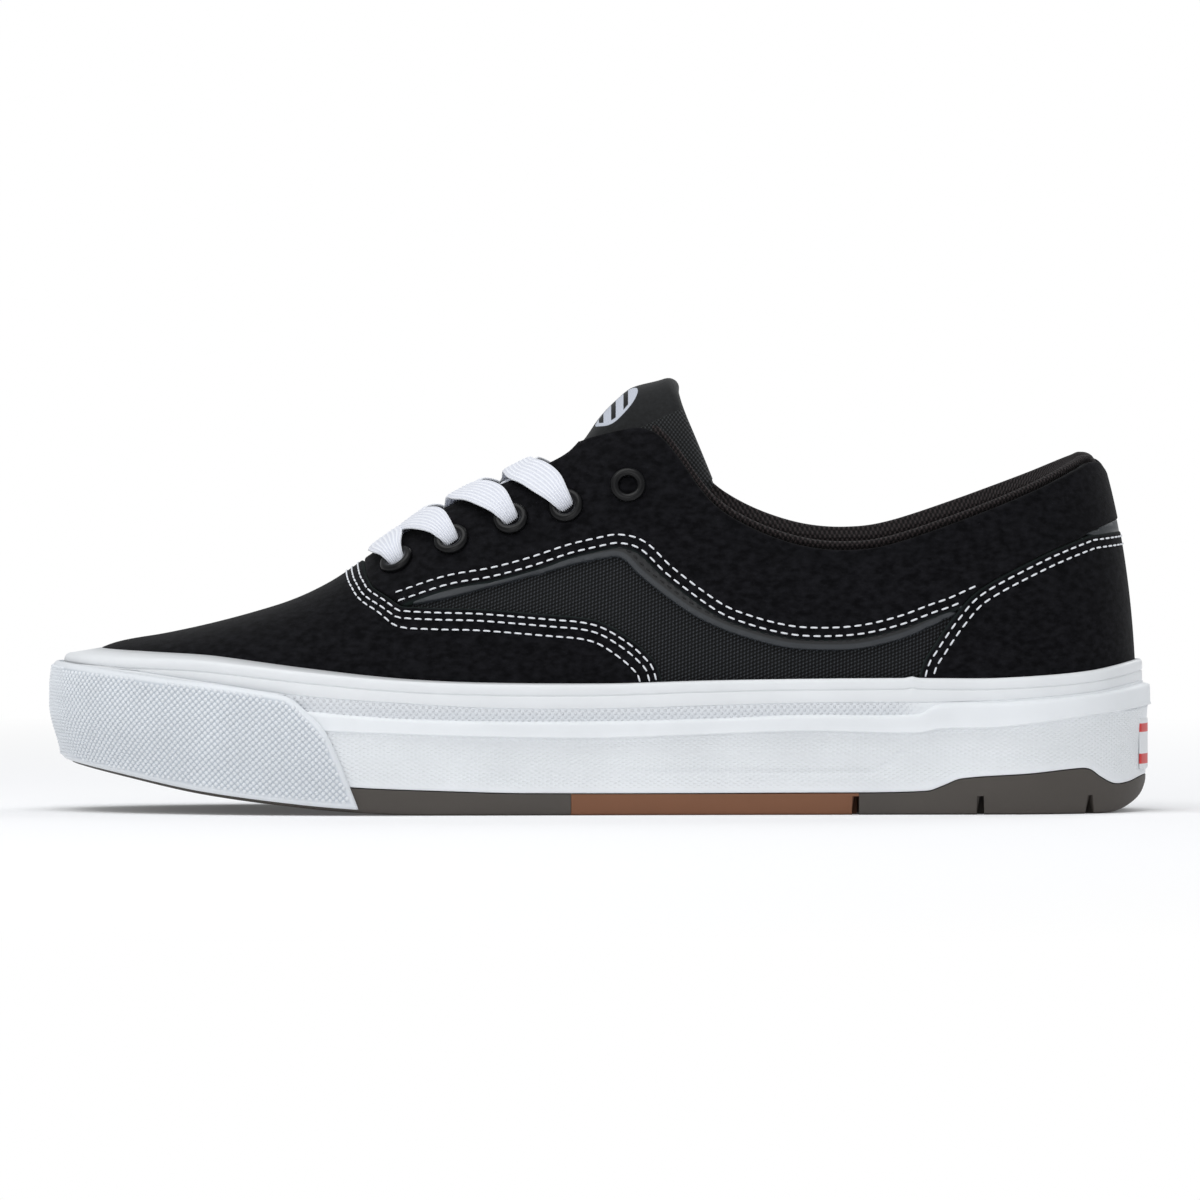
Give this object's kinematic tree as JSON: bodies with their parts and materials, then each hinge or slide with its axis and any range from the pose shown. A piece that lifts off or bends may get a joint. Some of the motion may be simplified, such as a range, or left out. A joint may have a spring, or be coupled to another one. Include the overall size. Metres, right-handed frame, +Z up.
{
  "type": "skate shoe",
  "caption": "Low laced skateboarding shoe for the left foot, suede and textile upper on a cupped rubber sole with a toe bumper.",
  "frame": {"origin": "on the floor, under the middle of the shoe's length and width", "axes": "-X towards the toe, +X towards the heel, -Y towards the outer side of the left foot, +Z up"},
  "size_m": [0.292, 0.1104, 0.1144],
  "materials": {
    "sole_white": "matte white foam rubber with fine moulded lines",
    "foxing_white": "satin white vulcanised tape",
    "bumper_white": "satin white rubber with a small diamond relief",
    "tab_white": "satin white rubber with two thin red lines",
    "outsole_dark": "matte dark taupe rubber",
    "outsole_gum": "matte gum brown rubber",
    "insole_foam": "knitted cover on soft foam",
    "textile": "woven black textile with small raised bumps",
    "suede": "black suede with a soft nap",
    "trim": "smooth dark grey coated strip, satin",
    "lining": "padded black mesh knit",
    "tongue_cloth": "padded black mesh with a smooth top",
    "eyelet_metal": "satin black enamel on steel",
    "lace": "flat white woven lace, fine ribs"
  },
  "bodies": {
    "root": {"midsole": "sole_white", "outsole_forefoot": "outsole_dark", "outsole_arch": "outsole_gum", "outsole_heel": "outsole_dark", "foxing": "foxing_white", "toe_bumper": "bumper_white", "heel_tab": "tab_white", "insole": "insole_foam", "upper": "textile", "vamp": "suede", "quarters": "suede", "heel_counter": "suede", "side_trim_outer": "trim", "side_trim_inner": "trim", "heel_trim": "trim", "collar_lining": "lining", "tongue": "tongue_cloth", "eyelet_outer_1": "eyelet_metal", "eyelet_outer_2": "eyelet_metal", "eyelet_outer_3": "eyelet_metal", "eyelet_outer_4": "eyelet_metal", "eyelet_outer_5": "eyelet_metal", "eyelet_inner_1": "eyelet_metal", "eyelet_inner_2": "eyelet_metal", "eyelet_inner_3": "eyelet_metal", "eyelet_inner_4": "eyelet_metal", "eyelet_inner_5": "eyelet_metal", "lace_bar": "lace", "lace_crossing_1": "lace", "lace_crossing_2": "lace", "lace_crossing_3": "lace"}
  },
  "joints": []
}
